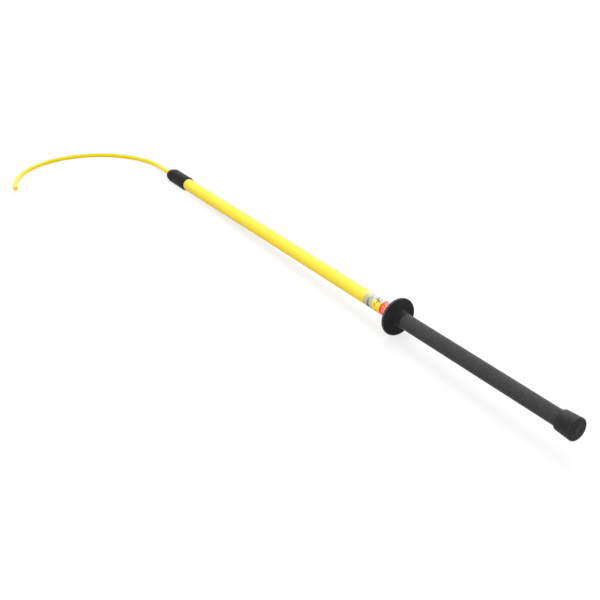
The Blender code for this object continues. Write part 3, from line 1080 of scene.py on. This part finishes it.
@dataclass
class PrintedLabels:
    """Red band, rating label and fine line, each a printed film round the tube."""

    sides: int = 96
    inner: float = 0.01603
    outer: float = 0.01613
    strokes_round: int = 12
    first_stroke: float = -150.0

    def red_marks(self) -> tuple[Mark, ...]:
        """List what the red film shows.

        Returns:
            A pale ring, and short strokes and discs round the film.
        """
        marks = [Mark("#FFE9E0", 3.4, 0.0, 3.0, 200.0)]
        for step in range(self.strokes_round):
            turn = self.first_stroke + 360.0 * step / self.strokes_round
            marks.append(Mark("#FFD6CE", 10.5, turn, 2.2, 6.4, 10.0))
            marks.append(Mark("#FFD6CE", 17.5, turn + 12.0, 2.4, 5.2, -12.0))
            marks.append(Mark("#F4867C", 14.0, turn + 8.0, 3.0, 6.0, 4.0, MarkShape.DISC))
        return tuple(marks)

    def rating_marks(self) -> tuple[Mark, ...]:
        """List what the rating film shows.

        Returns:
            A yellow block and line, plain bars and discs, and a darker yellow bar that is painted
            shadow of a label edge on the yellow line.
        """
        yellow = "#FFE632"
        ink = "#261F16"
        olive = "#5E4E0C"
        grey = "#7C7468"
        return (
            Mark(yellow, 14.0, 0.0, 28.0, 34.0),
            Mark(yellow, 56.6, 0.0, 3.4, 200.0),
            Mark(olive, 12.5, -26.0, 4.6, 6.0, 8.0, MarkShape.DISC),
            Mark(olive, 17.5, 22.0, 2.2, 7.0, -16.0),
            Mark(olive, 14.0, 44.0, 3.4, 1.8, 30.0),
            Mark(ink, 20.5, 78.0, 2.6, 8.0, 12.0),
            Mark(ink, 16.0, 70.0, 2.6, 7.0, -16.0),
            Mark(ink, 12.0, 62.0, 2.6, 7.0, 14.0),
            Mark(ink, 7.6, 60.0, 3.4, 3.8, 20.0, MarkShape.DISC),
            Mark(grey, 9.0, 84.0, 8.0, 1.4, 34.0),
            Mark(grey, 24.5, 100.0, 2.4, 3.6, 10.0, MarkShape.DISC),
            Mark("#85827A", 37.0, 66.0, 2.2, 13.0, -24.0),
            Mark("#A29C90", 42.0, 30.0, 6.4, 15.0, 6.0, MarkShape.DISC),
            Mark("#827E78", 41.5, 8.0, 7.0, 14.0, 4.0, MarkShape.DISC),
            Mark("#474D66", 41.0, -26.0, 10.0, 15.0, 4.0, MarkShape.DISC),
            # A darker yellow bar: painted shadow of a label edge on the yellow line.
            Mark("#B3920F", 56.4, 14.0, 1.8, 28.0),
        )

    def line_marks(self) -> tuple[Mark, ...]:
        """Return the clear film's short pale line."""
        return (Mark("#D2D4D6", 2.0, 92.0, 3.0, 34.0),)

    def build(self) -> None:
        """Build the three films and dress them."""
        films = (
            ("label_red_band", "red_band", "red_film", "#FF463A", self.red_marks()),
            ("label_rating", "rating_label", "label_film", "#BDBFB8", self.rating_marks()),
            ("label_mark_line", "mark_line", "label_film", "#FFE632", self.line_marks()),
        )
        for name, node, slot, ground, marks in films:
            start, end = span(node)
            edges = ((start, self.inner), (start, self.outer), (end, self.outer), (end, self.inner))
            mesh = turned_mesh(name, [Corner(*edge) for edge in edges], self.sides, closed=True)
            title = f"printed_vinyl_{node}"
            film = PrintedFilm(title, ground=ground, start=start, radius=self.outer, marks=marks)
            dress(mesh, film, Body.POLE, node)


@dataclass
class HeadCollar:
    """Moulded collar over the tube's head, with a nose that leans to the hook's inner side."""

    sides: int = 96
    start: float = 1.4881
    end: float = span("head_collar")[1]
    radius: float = outer_radius("head_collar")
    bore_end: float = span("hook_sheath")[0]
    bore_round: float = 0.0003
    mouth_radius: float = 0.0185
    mouth_length: float = 0.0035
    mouth_round: float = 0.0004
    mouth_wear: float = 0.5
    slope_round: float = 0.004
    shoulder_round: float = 0.003
    shoulder_wear: float = 0.3
    nose_length: float = 0.015
    nose_radius: float = 0.015
    nose_lean: float = 0.0022
    nose_round: float = 0.001
    nose_wear: float = 0.6
    rod_hole_radius: float = 0.0061
    ring_seat_radius: float = 0.009
    ring_seat_depth: float = 0.0029
    ring_seat_wall: float = 0.0005

    def build(self) -> None:
        """Build the collar and dress it."""
        slope_end = self.start + self.mouth_length
        shoulder = self.end - self.nose_length
        ring_end = self.bore_end + self.ring_seat_depth
        corners = [
            Corner(self.start, SLEEVE_BORE, self.bore_round),
            Corner(self.start, self.mouth_radius, self.mouth_round, self.mouth_wear),
            Corner(slope_end, self.radius, self.slope_round, self.shoulder_wear),
            Corner(shoulder, self.radius, self.shoulder_round, self.shoulder_wear),
            Corner(self.end, self.nose_radius, self.nose_round, self.nose_wear),
            Corner(self.end, self.rod_hole_radius),
            Corner(ring_end, self.rod_hole_radius),
            Corner(ring_end, self.ring_seat_radius),
            Corner(self.bore_end, self.ring_seat_radius),
            Corner(self.bore_end, SLEEVE_BORE),
        ]
        mesh = turned_mesh("collar_head", soften(corners, closed=True), self.sides, closed=True)
        for vertex in mesh.vertices:
            share = (vertex.co.x - shoulder) / self.nose_length
            reach = math.hypot(vertex.co.y, vertex.co.z)
            if share > 0.0 and reach > self.ring_seat_radius + self.ring_seat_wall:
                vertex.co.y += self.nose_lean * share
        dress(mesh, COLLAR_PLASTIC, Body.POLE, "head_collar")


@dataclass
class BodyHook:
    """Covered rod of the hook and the plug that closes its tip."""

    sides: int = 32
    bend_steps: int = 180
    straight_steps: int = 12
    start: float = span("hook_sheath")[0]
    bend_start: float = 1.6608
    bend_radius: float = 0.208
    open_angle: float = math.radians(120)
    open_radius: float = 0.225
    sweep: float = math.radians(164.3)
    rod_radius: float = 0.0058
    bore: float = 0.0043
    tip_radius: float = 0.0061
    tip_flange: float = 0.0018
    tip_gap: float = 0.0003
    tip_stem: float = 0.008
    tip_stem_radius: float = 0.004
    stem_round: float = 0.0004
    flange_round: float = 0.0002
    tip_round: float = 0.0011
    tip_wear: float = 0.6
    dimple_radius: float = 0.0009
    dimple_floor_radius: float = 0.0006
    dimple_depth: float = 0.0004

    def line(self) -> list[tuple[Vector, float, float]]:
        """Follow the middle of the rod.

        Returns:
            Points with the rod's heading there and their distance from its start.
        """
        straight = self.bend_start - self.start
        stations = []
        for step in range(self.straight_steps):
            along = straight * step / self.straight_steps
            stations.append((Vector((self.start + along, 0.0, 0.0)), 0.0, along))
        for step in range(self.bend_steps + 1):
            heading = self.sweep * step / self.bend_steps
            tight = min(heading, self.open_angle)
            along = self.bend_radius * math.sin(tight)
            along += self.open_radius * (math.sin(heading) - math.sin(tight))
            across = self.bend_radius * (1.0 - math.cos(tight))
            across += self.open_radius * (math.cos(tight) - math.cos(heading))
            distance = straight + self.bend_radius * tight + self.open_radius * (heading - tight)
            stations.append((Vector((self.bend_start + along, across, 0.0)), heading, distance))
        return stations

    def sheath_mesh(self) -> Mesh:
        """Sweep the sheath along the rod's line.

        Returns:
            A pipe that carries each point's place on the straightened rod.
        """
        build = bmesh.new()
        place = build.verts.layers.float_vector.new(ROD_PLACE)
        walls: list[list[Ring]] = []
        for radius in (self.rod_radius, self.bore):
            rings = []
            for point, heading, distance in self.line():
                across = Vector((-math.sin(heading), math.cos(heading), 0.0))
                ring = []
                for side in range(self.sides):
                    angle = 2 * math.pi * side / self.sides
                    spoke = across * math.cos(angle) + Vector((0.0, 0.0, math.sin(angle)))
                    vertex = build.verts.new(point + spoke * radius)
                    vertex[place] = (distance, radius * math.cos(angle), radius * math.sin(angle))
                    ring.append(vertex)
                rings.append(ring)
            walls.append(rings)
        outer, inner = walls
        loop = outer + inner[::-1]
        for first, second in zip(loop, loop[1:] + loop[:1]):
            join_rings(build, first, second)
        return closed_mesh("hook_rod_sheath", build)

    def build(self) -> None:
        """Build the sheath and the tip plug and dress them."""
        dress(self.sheath_mesh(), SHEATH_VINYL, Body.POLE, "hook_sheath")
        face = self.tip_gap + self.tip_flange
        corners = [
            Corner(-self.tip_stem, 0.0),
            Corner(-self.tip_stem, self.tip_stem_radius, self.stem_round),
            Corner(self.tip_gap, self.tip_stem_radius),
            Corner(self.tip_gap, self.tip_radius, self.flange_round),
            Corner(face, self.tip_radius, self.tip_round, self.tip_wear),
            Corner(face, self.dimple_radius),
            Corner(face - self.dimple_depth, self.dimple_floor_radius),
            Corner(face - self.dimple_depth, 0.0),
        ]
        mesh = turned_mesh("hook_tip_cap", soften(corners, closed=False), self.sides, closed=False)
        point, heading, _ = self.line()[-1]
        mesh.transform(Matrix.Translation(point) @ Matrix.Rotation(heading, 4, "Z"))
        dress(mesh, SHEATH_VINYL, Body.POLE, "hook_tip_plug")


@dataclass
class InnerPieces:
    """CAD pieces that keep their own shape and get a finish."""

    finishes: tuple[tuple[Finish, tuple[str, ...]], ...] = (
        (TUBE_FOAM, ("foam_core",)),
        (PLUG_NYLON, ("butt_plug", "head_plug")),
        (COLLAR_PLASTIC, ("guard_stop_ring",)),
        (SEAL_NITRILE, ("butt_seal_ring", "head_seal_ring", "nose_seal_ring")),
        (ZINC_STEEL, ("hook_core", "shank_nut", "shank_washer", "cross_pin", "ferrule_washer")),
    )

    def build(self) -> None:
        """Dress the CAD pieces."""
        for finish, nodes in self.finishes:
            for name in nodes:
                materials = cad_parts[name].data.materials
                materials.clear()
                materials.append(finish.material())
                LOG.info("%s: dressed with %s", name, finish.name)


@dataclass
class Studio:
    """White floor that the pole rests on, soft overhead light and the camera."""

    floor_normal: tuple[float, float, float] = (-0.03125, 0.01723, 0.99936)
    floor_offset: float = -0.06069
    floor_half: float = 25.0
    floor_shown: str = "#8C8C8C"
    floor_lit: str = "#A6A6A6"
    floor_glow: float = 0.7
    sky_strength: float = 1.15
    sun_strength: float = 1.8
    sun_direction: tuple[float, float, float] = (0.52, -0.42, 0.74)
    sun_spread: float = math.radians(38)
    camera_place: tuple[float, float, float] = (-1.2382, 1.4491, 1.1600)
    camera_turn: tuple[float, float, float] = (63.813, -0.841, -123.418)
    lens_mm: float = 70.83
    sensor_mm: float = 36.0

    def seen(self, tree: Tree) -> Socket:
        """Make the factor of what the camera, a mirror or glass sees.

        Args:
            tree: the nodes that get it.

        Returns:
            1 for camera, glossy and transmission rays, and 0 for the light itself.
        """
        rays = add_node(tree, "LightPath").outputs
        seen = rays["Is Camera Ray"]
        for kind in ("Is Glossy Ray", "Is Transmission Ray"):
            seen = add_node(tree, "Math", {0: seen, 1: rays[kind]}, operation="MAXIMUM").outputs[0]
        return seen

    def build_floor(self) -> None:
        """Build the floor, tilted so that the guard and the hook rest on it."""
        normal = Vector(self.floor_normal).normalized()
        turn = Vector((0.0, 0.0, 1.0)).rotation_difference(normal)
        build = bmesh.new()
        bmesh.ops.create_grid(build, x_segments=1, y_segments=1, size=self.floor_half)
        build.transform(Matrix.Translation(normal * self.floor_offset) @ turn.to_matrix().to_4x4())
        mesh = bpy.data.meshes.new("studio_floor")
        build.to_mesh(mesh)
        build.free()
        made = bpy.data.materials.new("studio_paper")
        made.use_nodes = True
        tree = made.node_tree
        shader = tree.nodes[SHADER]
        shader.inputs["Roughness"].default_value = 1.0
        shader.inputs["Specular IOR Level"].default_value = 0.0
        seen = self.seen(tree)
        paper = lay_over(tree, linear(self.floor_lit), self.floor_shown, seen)
        glow = add_node(tree, "Math", {0: seen, 1: self.floor_glow}, operation="MULTIPLY")
        shader.inputs["Emission Color"].default_value = WHITE
        tree.links.new(paper, shader.inputs["Base Color"])
        tree.links.new(glow.outputs[0], shader.inputs["Emission Strength"])
        mesh.materials.append(made)
        floor = add_object(mesh)

    def build_light(self) -> None:
        """Build the sky and the overhead light."""
        world = bpy.data.worlds.new("studio_sky")
        world.use_nodes = True
        bpy.context.scene.world = world
        tree = world.node_tree
        levels = {"Value": self.seen(tree), "To Min": self.sky_strength, "To Max": 1.0}
        strength = add_node(tree, "MapRange", levels)
        sky = tree.nodes["Background"]
        sky.inputs["Color"].default_value = WHITE
        tree.links.new(strength.outputs[0], sky.inputs["Strength"])
        lamp = bpy.data.lights.new("overhead_light", "SUN")
        lamp.energy = self.sun_strength
        lamp.angle = self.sun_spread
        light = add_object(lamp)
        light.rotation_mode = "QUATERNION"
        light.rotation_quaternion = Vector(self.sun_direction).to_track_quat("Z", "Y")

    def build_camera(self) -> None:
        """Build the camera at the photograph's place."""
        lens = bpy.data.cameras.new("studio_camera")
        lens.lens = self.lens_mm
        lens.sensor_width = self.sensor_mm
        camera = add_object(lens)
        camera.location = self.camera_place
        camera.rotation_euler = [math.radians(angle) for angle in self.camera_turn]
        bpy.context.scene.camera = camera

    def build(self) -> None:
        """Build the stage and set the plain view."""
        self.build_floor()
        self.build_light()
        self.build_camera()
        bpy.context.scene.view_settings.view_transform = "Standard"
        LOG.info("studio: floor, sky, overhead light and camera")


def main() -> None:
    """Build every piece of the pole and the studio round it."""
    logging.basicConfig(level=logging.INFO, format="%(name)s: %(message)s")
    assemblies = (
        RubberFerrule(),
        RibbedGrip(),
        HandGuard(),
        InsulatingTube(),
        PrintedLabels(),
        HeadCollar(),
        BodyHook(),
        InnerPieces(),
        Studio(),
    )
    for assembly in assemblies:
        assembly.build()


if __name__ == "__main__":
    main()
